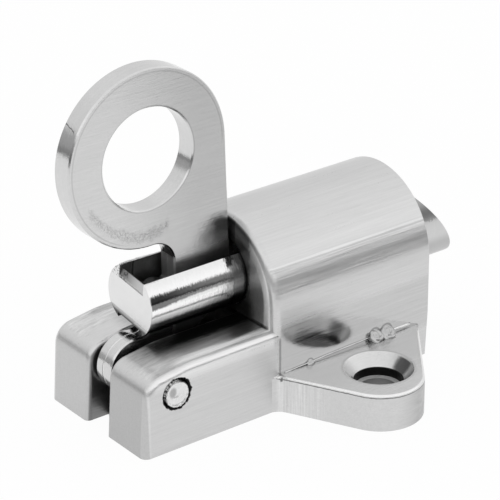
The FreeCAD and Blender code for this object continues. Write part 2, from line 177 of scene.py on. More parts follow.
# %% Finishes
class Finish:
    """A node tree and one method that adds any node: its settings first, then its inputs."""

    def __init__(self, tree):
        self.tree = tree
        tree.nodes.clear()

    def node(self, kind, settings=None, inputs=None):
        """A new node of this kind, with its settings made and then its inputs fed."""
        node = self.tree.nodes.new(kind)
        for name, value in (settings or {}).items():
            setattr(node, name, value)
        for key, value in (inputs or {}).items():
            self.feed(node.inputs[key], value)
        return node

    def feed(self, socket, value):
        """Links a signal to the socket, or writes a plain value into it."""
        if isinstance(value, Signal):
            self.tree.links.new(value.socket, socket)
        else:
            socket.default_value = value

    def signal(self, kind, output, settings=None, inputs=None):
        """One output of such a node, as a signal."""
        return Signal(self, self.node(kind, settings, inputs).outputs[output])

    def place(self):
        """Object coordinates of the shaded point, in millimetres."""
        here = self.signal("ShaderNodeTexCoord", "Object")
        return self.signal(
            "ShaderNodeVectorMath", "Vector", {"operation": "SCALE"}, {"Vector": here, "Scale": 1.0 / MM})

    def split(self, vector):
        """The three parts of a vector as signals."""
        node = self.node("ShaderNodeSeparateXYZ", inputs={0: vector})
        return [Signal(self, node.outputs[axis]) for axis in range(3)]

    def noise(self, vector, per_mm, detail=2.0, roughness=0.5):
        """Noise from 0 to 1 with so many grains per millimetre along each axis."""
        scaled = self.signal(
            "ShaderNodeMapping", 0, {"vector_type": "POINT"}, {"Vector": vector, "Scale": per_mm})
        return self.signal(
            "ShaderNodeTexNoise", "Fac", {"noise_dimensions": "3D"},
            {"Vector": scaled, "Scale": 1.0, "Detail": detail, "Roughness": roughness})

    def grey(self, value):
        """A neutral colour from one signal."""
        return self.signal("ShaderNodeCombineColor", 0, inputs={0: value, 1: value, 2: value})

    def bump(self, height, distance, below=None):
        """Bumps as high as height times distance, in millimetres, over the normals of an earlier bump."""
        inputs = {"Strength": 1.0, "Distance": distance * MM, "Height": height}
        if below is not None:
            inputs["Normal"] = below
        return self.signal("ShaderNodeBump", 0, inputs=inputs)


def new_finish(name):
    """A new material, and the finish that fills its node tree."""
    material = bpy.data.materials.new(name)
    material.use_nodes = True
    return material, Finish(material.node_tree)


def metal(finish, tone, roughness, bump, metallic=1.0):
    """Metal of a neutral tone: what varies feeds only colour, roughness, normal and how metallic it is."""
    shader = finish.node("ShaderNodeBsdfPrincipled", inputs={
        "Base Color": finish.grey(tone), "Metallic": metallic, "Roughness": roughness, "Normal": bump})
    finish.node("ShaderNodeOutputMaterial", inputs={"Surface": Signal(finish, shader.outputs[0])})


def radius(a, b):
    """Distance from an axis, by Pythagoras from two offsets."""
    return (a * a + b * b).power(0.5)


print("finishes can be made of", [name for name in vars(Finish) if not name.startswith("_")])

# %% [markdown]
# ## Floor and light
# The latch stands on a white sweep. The floor and the world are pure white for the camera, which comes from
# Light Path and not from more light. Polished plating shows its surroundings, so the world that the metal
# sees is a studio: a bright soft light overhead, a pale backdrop behind, and on the camera's side and the
# left a dark room that starts at the horizon, which gives the plating its dark bands. Inside the screw
# holes and the channel no light reaches the floor, so there it isn't white.

# %% Studio
FLOOR_RADIUS = 375.0
FLOOR_CENTRE = (-112.0, 134.6)
FLOOR_CORNERS = 96
FLOOR_COLOUR = 0.86
SHADED_COLOUR = 0.10
SHOWN_WHITE = 0.96
MIRRORED_WHITE = 0.75
SCREW_R = 3.1
SCREW_Y = 21.4
CHANNEL_HALF = 2.77
SWEEP_LEVEL = 0.86
ROOM_FOOT_LEVEL = 0.16
ROOM_WALL_LEVEL = 0.34


def make_floor():
    """A round table top: one face with corners on a circle that reaches further behind the latch."""
    angles = np.linspace(0.0, 2.0 * np.pi, FLOOR_CORNERS, endpoint=False)
    rim = np.stack([np.cos(angles), np.sin(angles), np.zeros(FLOOR_CORNERS)], axis=1) * FLOOR_RADIUS
    rim[:, :2] += FLOOR_CENTRE
    mesh = bpy.data.meshes.new("floor")
    mesh.from_pydata((rim * MM).tolist(), [], [list(range(FLOOR_CORNERS))])
    floor = bpy.data.objects.new("floor", mesh)
    bpy.context.scene.collection.objects.link(floor)
    material, finish = new_finish("white_table")
    x, y, _ = finish.split(finish.place())
    # Shade in the screw holes and the channel: the white is taken away there, and the floor's colour is
    # painted dark grey.
    hole = radius(x, abs(y) - SCREW_Y).ramp(SCREW_R + 0.4, SCREW_R + 0.2)
    channel = x.between(-36.5, -15.0, 1.0) * abs(y).ramp(CHANNEL_HALF + 0.13, CHANNEL_HALF + 0.03)
    lit = 1.0 - (hole * 0.6).at_least(channel)
    path = finish.node("ShaderNodeLightPath")
    camera_ray = Signal(finish, path.outputs["Is Camera Ray"])
    glossy_ray = Signal(finish, path.outputs["Is Glossy Ray"])
    through_ray = Signal(finish, path.outputs["Is Transmission Ray"])
    shown = camera_ray * SHOWN_WHITE + glossy_ray * MIRRORED_WHITE + through_ray
    shown = shown.at_most(1.0) * lit
    colour = finish.grey(lit.mixed(SHADED_COLOUR, FLOOR_COLOUR))
    diffuse = finish.signal("ShaderNodeBsdfDiffuse", 0, inputs={"Color": colour})
    white = finish.signal("ShaderNodeEmission", 0, inputs={"Color": (1, 1, 1, 1), "Strength": 1.0})
    mixed = finish.signal("ShaderNodeMixShader", 0, inputs={0: shown, 1: diffuse, 2: white})
    finish.node("ShaderNodeOutputMaterial", inputs={"Surface": mixed})
    mesh.materials.append(material)
    print("floor", 2.0 * FLOOR_RADIUS, "mm across")


def make_world():
    """Brightness by direction: a dark room to one side, a pale sweep to the other, and light from above."""
    world = bpy.data.worlds.new("studio")
    bpy.context.scene.world = world
    world.use_nodes = True
    finish = Finish(world.node_tree)
    x, y, z = finish.split(finish.signal("ShaderNodeTexCoord", "Generated"))
    dark_side = (x * -0.7 + y * -0.7).ramp(-0.62, -0.20)
    near_side = y.ramp(0.2, -0.3)
    far_left = (y - x).ramp(0.3, 1.2)
    room = z.ramp(-0.02, 0.06).mixed(ROOM_FOOT_LEVEL, ROOM_WALL_LEVEL) + far_left * 0.10
    soft_light = z.ramp(0.17, 0.33)
    behind = z.ramp(0.45, 0.85).mixed(0.86, 0.98)
    overhead = near_side.mixed(behind, z.ramp(0.35, 0.85).mixed(1.17, 1.0))
    sweep = dark_side.mixed(SWEEP_LEVEL, room)
    studio = soft_light.mixed(sweep, overhead)
    path = finish.node("ShaderNodeLightPath")
    camera_ray = Signal(finish, path.outputs["Is Camera Ray"])
    level = camera_ray.mixed(studio, 1.0)
    colour = finish.grey(level)
    background = finish.signal("ShaderNodeBackground", 0, inputs={"Color": colour, "Strength": 1.0})
    finish.node("ShaderNodeOutputWorld", inputs={"Surface": background})
    print("studio made")


make_floor()
make_world()
bpy.context.scene.view_settings.view_transform = "Standard"

# %% [markdown]
# ## The brushed casting
# The casting was drawn along an abrasive belt before it was plated, so fine polish lines run along the bolt.
# Noise that is stretched along X gives them: grains a tenth of a millimetre across blur what the metal
# mirrors, and broader ones stay visible as streaks. The sizes below are the packed model's own, in
# millimetres, so that each mask lies on the edge that it means.

# %% Sizes and belt lines
AXIS_Z = 20.9
STEM_R = 6.0
BORE_R = 9.23
PIN_X = -34.7
PIN_Z = 9.9
PIN_MOUTH_R = 2.8
WALL_Y = 13.3
FRONT_X = 17.8
ARCH_BACK_X = -15.2
ARCH_CENTRE_Z = 18.0
CHEEK_END_X = -41.3
CHEEK_TOP_Z = 14.3
FLANGE_Z = 6.5
COUNTERSINK_R = 5.8
SEAT_R = 4.05
SEAT_Z = 2.8


def belt_lines(finish, place):
    """Fine, middle and broad lines along X, each from 0 to 1."""
    fine = finish.noise(place, (0.3, 7.0, 7.0), detail=1.0)
    middle = finish.noise(place, (0.10, 3.4, 3.4), detail=3.0, roughness=0.6)
    broad = finish.noise(place, (0.05, 1.3, 1.3), detail=3.0, roughness=0.6)
    return fine, middle, broad


def arch_reach(y, z):
    """How far out a point is on the arch: sideways below the arch's centre, and from its axis above it."""
    return radius(y, (z - ARCH_CENTRE_Z).at_least(0.0))


def behind_arch(x):
    """1 on all that stands out behind the back of the arch, and 0 inside it."""
    return x.ramp(ARCH_BACK_X + 0.3, ARCH_BACK_X - 0.1)


print("casting from x %.1f to %.1f, bolt axis at z %.1f mm" % (CHEEK_END_X, FRONT_X, AXIS_Z))

# %% [markdown]
# ## Where shade is painted on the casting
# The belt can't reach the recesses, and little light does. There shade and dark reflections are painted into
# the casting's colour: the back of the arch, the sides of the channel, the cheeks beside the stem and every
# hole. Each place is a product of smooth steps along X, Y and Z, and noise shifts those steps, so that no
# edge is as straight as if drawn.

# %% Soft patches and holes of painted shade
COUNTERSINK_SHADE_X = 4.9
COUNTERSINK_SHADE_OUT = 0.4


def arch_back(x, y, z):
    """Painted shade and reflection on the arch's back over the cheeks, and in the crease where their tops
    meet it.
    """
    on_back = x.ramp(ARCH_BACK_X + 0.15, ARCH_BACK_X + 0.05) * arch_reach(y, z).ramp(12.0, 10.8)
    crease = on_back * x.ramp(ARCH_BACK_X - 0.6, ARCH_BACK_X - 0.2)
    crease = crease * z.between(CHEEK_TOP_Z - 0.2, CHEEK_TOP_Z + 0.4, 0.1)
    return on_back * z.ramp(CHEEK_TOP_Z + 0.05, CHEEK_TOP_Z + 0.4), crease


def beside_the_stem(x, y, z, hatch):
    """Painted shade in two patches on the cheeks' tops: a wide ragged one round the stem, and the near gap
    beside it.
    """
    side = abs(y)
    ragged_x = x + hatch * 3.0
    wide = z.ramp(12.2, 13.4) * (side + hatch * 2.0).ramp(12.0, 6.5)
    wide = wide * (ragged_x + y.ramp(-1.0, 1.0) * -6.0).ramp(-38.5, -32.5)
    gap = ragged_x.ramp(-32.0, -28.5) * (side + (hatch - 0.5) * 3.0).ramp(7.6, 6.2)
    gap = gap * z.ramp(13.4, 13.9) * y.ramp(-0.5, -1.5)
    return wide * behind_arch(x), gap * behind_arch(x)


def soft_patches(x, y, z, hatch):
    """Light lost on the broad dark faces: the largest of three, then dimmed again near the stem and below."""
    side = abs(y)
    back, crease = arch_back(x, y, z)
    low = z.ramp(20.0, 16.5) * (side + hatch * 2.0).ramp(10.5, 7.0)
    back_amount = hatch.mixed(0.05, 0.50).at_least(low * 0.88)
    wide, gap = beside_the_stem(x, y, z, hatch)
    in_channel = side.ramp(CHANNEL_HALF + 0.28, CHANNEL_HALF + 0.08)
    in_channel = in_channel * x.ramp(ARCH_BACK_X + 0.3, ARCH_BACK_X + 0.1)
    soft = (back * back_amount).at_least(crease * 0.7).at_least(gap * hatch.mixed(0.97, 0.80))
    return 1.0 - (1.0 - soft) * (1.0 - wide * hatch.mixed(0.30, 0.90)) * (1.0 - in_channel * 0.6), back


def hole_darkness(x, y, z, wobble):
    """Painted shade in the bore, stem hole, pin holes, stepped screw holes and countersinks: a radius from
    each axis, cut off by depth.
    """
    from_axis = radius(y, z - AXIS_Z)
    bore = x.ramp(ARCH_BACK_X + 0.25, ARCH_BACK_X + 0.4) * x.ramp(FRONT_X - 0.05, FRONT_X - 0.2)
    bore = bore * from_axis.ramp(BORE_R + 0.37, BORE_R + 0.07)
    stem_hole = (from_axis + wobble * 1.1).ramp(STEM_R + 1.05, STEM_R + 0.9)
    stem_hole = stem_hole * x.ramp(ARCH_BACK_X + 1.2, ARCH_BACK_X + 0.7)
    from_pin = radius(x - PIN_X, z - PIN_Z) + wobble * 0.9
    pin_hole = from_pin.ramp(PIN_MOUTH_R + 0.55, PIN_MOUTH_R + 0.4)
    from_screw = radius(x, abs(y) - SCREW_Y)
    seat_wall = from_screw.ramp(SEAT_R + 0.25, SEAT_R + 0.07) * z.between(SEAT_Z + 0.1, SEAT_Z + 1.6, 0.03)
    screw_hole = from_screw.ramp(SCREW_R + 0.2, SCREW_R + 0.05) * z.ramp(SEAT_Z + 0.15, SEAT_Z - 0.05)
    # A patch of painted shade on each countersink's wall, to the front of its screw hole.
    from_countersink_shade = radius(x - COUNTERSINK_SHADE_X, abs(y) - SCREW_Y - COUNTERSINK_SHADE_OUT) + wobble
    countersink_shade = from_countersink_shade.ramp(2.7, 1.6) * z.between(4.4, 6.2, 0.2)
    holes = (bore * 0.97).at_least(stem_hole * 0.98).at_least(pin_hole * 0.98)
    return holes.at_least(seat_wall * 0.97).at_least(screw_hole * 0.45).at_least(countersink_shade * 0.8)


print("dark patches and holes ready, bore %.2f and screw hole %.1f mm in radius" % (BORE_R, SCREW_R))

# %% [markdown]
# ## Thin lines of painted shade
# Shade is painted in thin dark lines where two faces meet: under the flange's rim, up the rear corner of the
# wall, at the flange's root, and beside the mould's seam and its three droplets, whose metal is added further
# down.

# %% Lines of painted shade, and the sum of all painted shade
SEAM_X = [-13.1, -12.0, -10.0, -7.9, -3.7, 0.6, 3.5, 6.1, 8.9, 11.5, 13.7]
SEAM_Z = [6.55, 6.58, 6.64, 6.70, 6.92, 7.02, 7.12, 7.15, 7.05, 6.97, 6.9]
SEAM_CREST_X = 6.0
SEAM_CREST_Z = 7.1
SEAM_BEND = 0.0016
# Along the bolt, out from the middle, height and radius of each droplet.
DROPLETS = [(-7.9, 13.4, 6.7, 0.70), (5.9, 13.85, 7.4, 1.30), (8.4, 13.85, 7.3, 1.40)]


def thin_lines(x, y, z, hatch, wobble):
    """Painted shade in narrow bands: of height along edges, over a parabola at the seam, of radius at a
    droplet.
    """
    side = abs(y)
    on_wall = side.ramp(WALL_Y - 0.2, WALL_Y - 0.1)
    under_rim = (z + wobble * 0.2).between(FLANGE_Z - 0.44, FLANGE_Z - 0.34, 0.08)
    under_rim = under_rim * side.ramp(WALL_Y + 0.2, WALL_Y + 0.6)
    under_rim = under_rim * radius(x, side - SCREW_Y).ramp(COUNTERSINK_R + 0.4, COUNTERSINK_R + 0.8)
    rear_corner = (x + wobble * 0.3).between(-14.1, -13.8, 0.12) * z.between(6.6, 12.5, 1.0) * on_wall
    root = (x + wobble).between(-13.9, -12.6, 0.3) * (z + wobble).between(6.2, 6.75, 0.15)
    root = root * side.between(WALL_Y - 0.1, WALL_Y + 0.9, 0.1)
    from_crest = x - SEAM_CREST_X
    over_seam = z - (SEAM_CREST_Z - from_crest * from_crest * SEAM_BEND)
    seam = over_seam.between(-0.22, 0.13, 0.06) * side.between(WALL_Y - 0.2, WALL_Y + 0.05, 0.02)
    seam = seam * x.between(SEAM_X[0] + 0.1, SEAM_X[-1] - 0.1, 0.3)
    lines = under_rim * hatch.mixed(0.5, 0.95) * x.ramp(12.0, -6.0).mixed(0.3, 1.0)
    lines = lines.at_least(rear_corner * 0.40).at_least(root * 0.75).at_least(seam * 0.45)
    for along, out, up, size in DROPLETS:
        away = radius(radius(x - along, side - out), z - up)
        lines = lines.at_least(away.between(size * 0.9, size + 0.05, 0.12) * on_wall * 0.42)
    return lines


def recess_darkness(x, y, z, hatch, wobble):
    """Painted shade on the casting: the largest of patches, holes and lines. And the arch's back."""
    soft, back = soft_patches(x, y, z, hatch)
    return soft.at_least(hole_darkness(x, y, z, wobble)).at_least(thin_lines(x, y, z, hatch, wobble)), back


print("thin lines ready, with", len(DROPLETS), "droplets on each side")

# %% [markdown]
# ## The casting's finish
# The tone is one grey times four things: the belt's lines, the grain of the cast skin where the belt didn't
# reach, painted highlights and painted shade on faces and edges, and the painted shade of the recesses. The
# foot of the wall and the flange's top are smoother, so they mirror more sharply. The bumps are stacked, the
# coarse ones first, and each one bends the normals of the one before it.

# %% Casting
CASTING_TONE = 0.66


def arch_lines(x, y, z, rear, middle, broad, streak):
    """A painted ridge reflection and streaks that the belt left on the arch's flank, and two painted rings,
    light and dark, near its back's rim.
    """
    height = (z - ARCH_CENTRE_Z) + (middle - 0.5) * 0.3
    flank = x.ramp(ARCH_BACK_X + 0.2, ARCH_BACK_X + 0.7) * abs(y).between(10.5, 13.2, 0.3)
    # Painted reflection: a bright ridge line with a dark band just under it.
    ridge_reflection = height.between(6.66, 6.84, 0.07) * 0.14 - height.between(6.35, 6.5, 0.08) * 0.20
    streaky = height.between(3.2, 6.3, 0.8) * ((broad - 0.5) * 0.3 + (streak - 0.5) * 0.35 + 0.07)
    reach = arch_reach(y, z)
    # Painted highlight ring and painted dark ring near the rim of the arch's back.
    rings = reach.between(11.7, 11.95, 0.1) * 0.2 - reach.between(12.2, 12.6, 0.15) * 0.2
    return flank * (ridge_reflection + streaky) + rear * rings


def cheek_shine(x, y, z, streak):
    """Painted light on the cheeks: streaks along their tops, a painted highlight on the outer slope and on
    the rear corner.
    """
    side = abs(y)
    on_cheek = x.ramp(ARCH_BACK_X + 0.2, ARCH_BACK_X - 0.4)
    streaked = on_cheek * z.ramp(12.6, 13.5) * side.between(7.5, 12.4, 1.0)
    slope_highlight = on_cheek * z.ramp(11.0, 12.8) * side.ramp(WALL_Y - 1.0, WALL_Y - 0.3)
    # Painted highlight on the cheeks' rear corner.
    corner = x.between(CHEEK_END_X + 0.1, CHEEK_END_X + 1.3, 0.2) * side.between(12.2, 13.2, 0.2)
    return streaked * (streak - 0.5) + slope_highlight * 0.24 + corner * 0.10


def make_casting():
    """Tone is belt lines, times painted light on faces and edges, times the recesses' painted shade. Bumps
    are the skin, a dip, the lines.
    """
    material, finish = new_finish("brushed_casting")
    place = finish.place()
    x, y, z = finish.split(place)
    side = abs(y)
    from_screw = radius(x, side - SCREW_Y)
    fine, middle, broad = belt_lines(finish, place)
    upright = finish.noise(place, (3.0, 3.0, 0.10), detail=3.0)
    rough_cast = finish.noise(place, (2.2, 2.2, 2.2), detail=4.0, roughness=0.65)
    hatch = finish.noise(place, (0.35, 3.0, 1.2), detail=5.0, roughness=0.75)
    wobble = finish.noise(place, (1.4, 1.4, 1.4), detail=4.0, roughness=0.7)
    streak = finish.noise(place, (0.12, 1.8, 1.8), detail=4.0, roughness=0.75)
    dark, back_of_arch = recess_darkness(x, y, z, hatch, wobble)

    rear = x.ramp(ARCH_BACK_X + 0.3, ARCH_BACK_X + 0.1) * z.ramp(13.5, 14.5)
    rear_end = x.ramp(CHEEK_END_X + 1.2, CHEEK_END_X + 0.95)
    flange_top = z.between(FLANGE_Z - 0.2, FLANGE_Z + 0.1, 0.05) * side.ramp(WALL_Y + 0.1, WALL_Y + 0.3)
    flange_side = side.ramp(WALL_Y + 0.2, WALL_Y + 0.5) * z.ramp(FLANGE_Z - 0.4, FLANGE_Z - 0.6)
    flange_side = flange_side * from_screw.ramp(COUNTERSINK_R + 0.02, COUNTERSINK_R + 0.15)
    # Painted highlight along the flange's rounded rim.
    flange_rim_highlight = side.ramp(WALL_Y + 0.3, WALL_Y + 0.6) * z.between(FLANGE_Z - 0.38, FLANGE_Z - 0.02, 0.04)
    flange_rim_highlight = flange_rim_highlight * from_screw.ramp(COUNTERSINK_R + 0.2, COUNTERSINK_R + 0.6)
    foot_of_wall = z.between(FLANGE_Z - 0.2, 14.0, 1.5) * side.between(WALL_Y - 0.4, WALL_Y + 0.3, 0.1)
    foot_of_wall = foot_of_wall * x.between(ARCH_BACK_X + 1.0, FRONT_X + 0.7, 0.6)
    near_root = side.ramp(23.0, 17.0)

    # Painted shade: the cheeks' rear faces are darker, most on the near side, and so is the foot of the wall.
    painted_light_and_streaks = 1.0 - rear_end * y.ramp(1.0, -1.0).mixed(0.14, 0.25) - foot_of_wall * 0.12
    # Painted shade on the flange's side, darker towards its front; near the wall it gets upright streaks and
    # a little more light.
    front_end_shade = x.ramp(-4.0, 3.0) * (0.30 + (broad - 0.5) * 0.5)
    painted_light_and_streaks = painted_light_and_streaks - flange_side * (front_end_shade - near_root * ((upright - 0.5) * 0.7 + 0.08))
    painted_light_and_streaks = painted_light_and_streaks + cheek_shine(x, y, z, streak)
    belt = (fine - 0.5) * 0.09 + (middle - 0.5) * 0.17 + (broad - 0.5) * 0.13
    cast_skin = (rough_cast - 0.5) * flange_top.mixed(0.05, 0.14)
    lines = belt + cast_skin + arch_lines(x, y, z, rear, middle, broad, streak) + flange_rim_highlight * 0.30
    tone = CASTING_TONE * (1.0 + lines) * painted_light_and_streaks * (1.0 - dark)

    smooth = foot_of_wall.at_least(flange_top * 0.4)
    seat = from_screw.between(SCREW_R + 0.05, SEAT_R + 0.05, 0.05)
    seat = seat * z.between(SEAT_Z - 0.1, SEAT_Z + 0.08, 0.02)
    roughness = smooth.mixed(0.30, 0.13) + (broad - 0.5) * 0.10 + (rough_cast - 0.5) * 0.06 + seat * 0.5
    across = rear_end.at_least(back_of_arch).at_least(flange_side * near_root)
    belted = (1.0 - across) * smooth.mixed(1.0, 0.35)
    bump = finish.bump(rough_cast * flange_top.mixed(0.4, 1.0), 0.012)
    bump = finish.bump(rear * (1.0 - arch_reach(y, z).ramp(10.2, 12.4)), 0.9, bump)
    bump = finish.bump(broad * belted, 0.035, bump)
    bump = finish.bump(middle * belted, 0.014, bump)
    bump = finish.bump(fine * belted, 0.010, bump)
    bump = finish.bump(upright * across, 0.025, bump)
    metal(finish, tone, roughness + dark * 0.1, bump, 1.0 - back_of_arch * 0.22)
    return material


finishes = {"housing": make_casting()}
print("casting finish with", len(finishes["housing"].node_tree.nodes), "nodes")

# %% [markdown]
# ## The polished bolt
# The stem is the brightest piece: bar that was turned and then polished along its length. It mirrors the
# dark room, the casting and the lever in long bands whose edges are ragged from the turning marks, and those
# bands are painted, because a ragged mirror edge is finer than the bumps can give. The bolt sits a little
# rolled in its bore, so the patterns of its slot use coordinates turned back by that roll.

# %% Slot and bands of the stem
ROLL = np.radians(8.0)
SLOT_HALF = 3.3
STEM_END_X = -34.1
END_WALL_X = -31.5
SHOULDER_X = 9.0


def bolt_place(y, z):
    """Coordinates in the bolt's own turned frame: across the slot, and up the slot."""
    up = z - AXIS_Z
    across = y * float(np.cos(ROLL)) + up * float(np.sin(ROLL))
    above = up * float(np.cos(ROLL)) - y * float(np.sin(ROLL))
    return across, above


def stem_bands(x, y, height, ragged, outside):
    """Painted reflections between two heights on the near flank, darker to the rear, and a painted ring of
    shade by the arch.
    """
    near_flank = outside * y.ramp(0.0, -2.0)
    low_edge = x.ramp(-24.0, -34.0).mixed(0.75, 0.25)
    middle_band = near_flank * (height - low_edge).ramp(-0.10, 0.25) * height.ramp(1.75, 1.25)
    rear_corner = near_flank * x.ramp(-28.0, -33.0) * height.between(1.2, 2.4, 0.3)
    upper_band = near_flank * (height + (ragged - 0.5) * 1.2).between(1.35, 2.3, 0.25)
    near_arch = x + (ragged - 0.5) * 3.0
    by_arch = near_arch.ramp(-18.3, -17.7) * height.ramp(-1.0, -2.2).mixed(0.52, 0.9)
    by_arch = by_arch.at_least(near_arch.between(-18.5, -17.2, 0.1) * height.ramp(2.6, 3.4) * 0.95)
    by_arch = by_arch.at_least((x + (ragged - 0.5) * 0.8).ramp(-15.9, -15.6) * 0.80)
    bands = (middle_band * x.ramp(-20.0, -33.0).mixed(0.62, 0.75)).at_least(rear_corner * 0.6)
    bands = bands.at_least(upper_band * x.ramp(-22.0, -33.0).mixed(0.38, 0.88))
    return bands.at_least(outside * by_arch * behind_arch(x))


print("slot %.1f mm wide, stem's end at x %.1f mm" % (2.0 * SLOT_HALF, STEM_END_X))

# %% [markdown]
# ## The bolt's finish
# The walls of the slot, the face of its end wall and the underside get little light, so shade is painted on
# them and on the end wall's bevel. Specks of grit stick to the top of the stem's end. The nose is duller than
# the stem, because it rubs on the strike: it has a painted dark reflection near its top and painted shade
# below.

# %% Bolt
def make_bar():
    """Tone is bright grey times painted shade and reflections of slot, bands and nose, and the grit. The stem
    is smooth, the nose satin.
    """
    material, finish = new_finish("polished_bar")
    place = finish.place()
    x, y, z = finish.split(place)
    across, above = bolt_place(y, z)
    turned = finish.noise(place, (2.6, 0.6, 0.6), detail=3.0, roughness=0.6)
    fine, _, broad = belt_lines(finish, place)
    pits = finish.noise(place, (3.5, 3.5, 3.5), detail=3.0)
    specks = finish.noise(place, (2.4, 2.4, 2.4), 6.0, 0.85)
    ragged = finish.noise(place, (3.2, 0.9, 0.9), detail=4.0, roughness=0.7)

    from_axis = radius(across, above)
    on_stem = x.ramp(SHOULDER_X + 0.2, SHOULDER_X - 0.2)
    off_end = x.ramp(STEM_END_X + 0.1, STEM_END_X + 0.2)
    inside = from_axis.ramp(STEM_R - 0.1, STEM_R - 0.25) * on_stem
    outside = from_axis.ramp(STEM_R - 0.2, STEM_R - 0.1) * off_end * on_stem
    slot_wall = inside * abs(across).between(SLOT_HALF - 0.1, SLOT_HALF + 0.06, 0.02) * off_end
    wall_face = inside * x.between(END_WALL_X - 0.2, END_WALL_X + 0.2, 0.1)
    underside = on_stem * x.ramp(STEM_END_X + 0.05, STEM_END_X + 0.2) * above.ramp(-2.6, -3.4)
    end_face = x.ramp(STEM_END_X + 0.2, STEM_END_X + 0.05)
    # Painted shade on the end wall's bevel, strong on the far side and faint on the near.
    end_bevel = x.ramp(END_WALL_X - 0.1, END_WALL_X - 0.4) * inside * (1.0 - end_face) * above.ramp(2.3, 2.6)

    on_nose = x.ramp(FRONT_X - 0.8, FRONT_X - 0.2)
    # Painted dark reflection near the nose's top, and painted shade low on the nose.
    nose_top = on_nose * y.ramp(-4.5, -6.5) * (z + (pits - 0.5) * 1.6).between(22.5, 26.5, 0.5)
    nose_low = on_nose * y.ramp(-5.0, -7.0) * z.ramp(19.4, 16.8)
    grit = x.ramp(-32.8, -33.6) * across.between(1.6, 5.0, 0.5) * above.ramp(2.4, 2.9)
    grit = grit * specks.ramp(0.50, 0.58)
    height = z - AXIS_Z + (ragged - 0.5) * 0.7
    # Painted shade on the slot's walls, the end wall's face and the underside, with the grit's specks.
    dark = (slot_wall * 0.6).at_least(wall_face * 0.85).at_least(underside * 0.85)
    dark = dark.at_least(nose_top * 0.42).at_least(nose_low * 0.24).at_least(grit * 0.85)
    dark = dark.at_least(stem_bands(x, y, height, ragged, outside))
    # Painted reflection: a brighter band low on the near flank.
    painted_bright_band = outside * y.ramp(0.0, -2.0) * height.between(-2.0, 0.0, 0.6) * 0.22

    tone = on_stem.mixed(0.64, 0.80) * (1.0 - dark) * (1.0 + (turned - 0.5) * 0.08 + (pits - 0.5) * 0.05)
    tone = tone * (1.0 - end_bevel * across.ramp(-2.5, 3.0).mixed(0.05, 0.62) + painted_bright_band)
    roughness = on_stem.mixed(0.32, 0.07) + end_face * 0.12 + end_bevel * 0.5 + (broad - 0.5) * 0.04
    roughness = roughness + slot_wall * 0.35
    bump = finish.bump(turned * on_stem * (1.0 - end_face), 0.04)
    bump = finish.bump(fine, 0.003, bump)
    bump = finish.bump(pits * end_face, 0.015, bump)
    metal(finish, tone, roughness, bump)
    return material


finishes["slide_bolt"] = make_bar()
print("bolt finish with", len(finishes["slide_bolt"].node_tree.nodes), "nodes")

# %% [markdown]
# ## The pull lever
# The lever is flat plate with satin faces and smoother rims. Its faces were drawn along the same belt as the
# casting. Low on the leg, where it enters the slot, shade and dark reflections are painted into its colour,
# and its faces get painted shade towards the arch. A chain of pits runs in an arc across the foot of the
# ring, a fine crack lies on the ring's rear rim, and a faint parting line runs round the middle of the rims.

# %% Lever
PLATE_HALF = 1.95
PLATE_TONE = 0.67
RING_X = -31.1
RING_Z = 45.2
RING_INNER_R = 8.53
RING_OUTER_R = 14.97
HEEL_X = -28.9
HEEL_Z = 20.4
CRACK_Z = 52.9
# Height of the chain of pits over X: a constant, a slope and a bend.
PIT_ARC = (95.2, 3.94, 0.0617)


def leg_darkness(x, z, on_face, mottle):
    """Painted shade and reflection low on the leg: where it enters the slot, more to the front and below, and
    at the heel.
    """
    in_slot = on_face * (z + mottle).ramp(28.6, 25.6) * x.ramp(-27.5, -26.5)
    amount = x.ramp(-25.5, -18.5).mixed(0.10, 0.60).at_least(z.ramp(20.0, 17.0) * 0.85)
    heel = radius(x - HEEL_X, z - HEEL_Z).ramp(3.4, 2.8)
    return (in_slot * amount).at_least(heel * 0.8), in_slot


def ring_lines(x, z, on_face):
    """Thin painted dark reflections on the faces where the ring's two edges were broken: bands of radius from
    its middle.
    """
    from_ring = radius(x - RING_X, z - RING_Z)
    free_rim = z.ramp(44.0, 46.0).at_least(x.ramp(-31.0, -33.0))
    inner_line = from_ring.between(RING_INNER_R + 0.19, RING_INNER_R + 0.33, 0.08)
    outer_line = from_ring.between(RING_OUTER_R - 0.77, RING_OUTER_R - 0.61, 0.08) * free_rim
    return on_face * z.ramp(31.0, 33.0) * outer_line.at_least(inner_line)


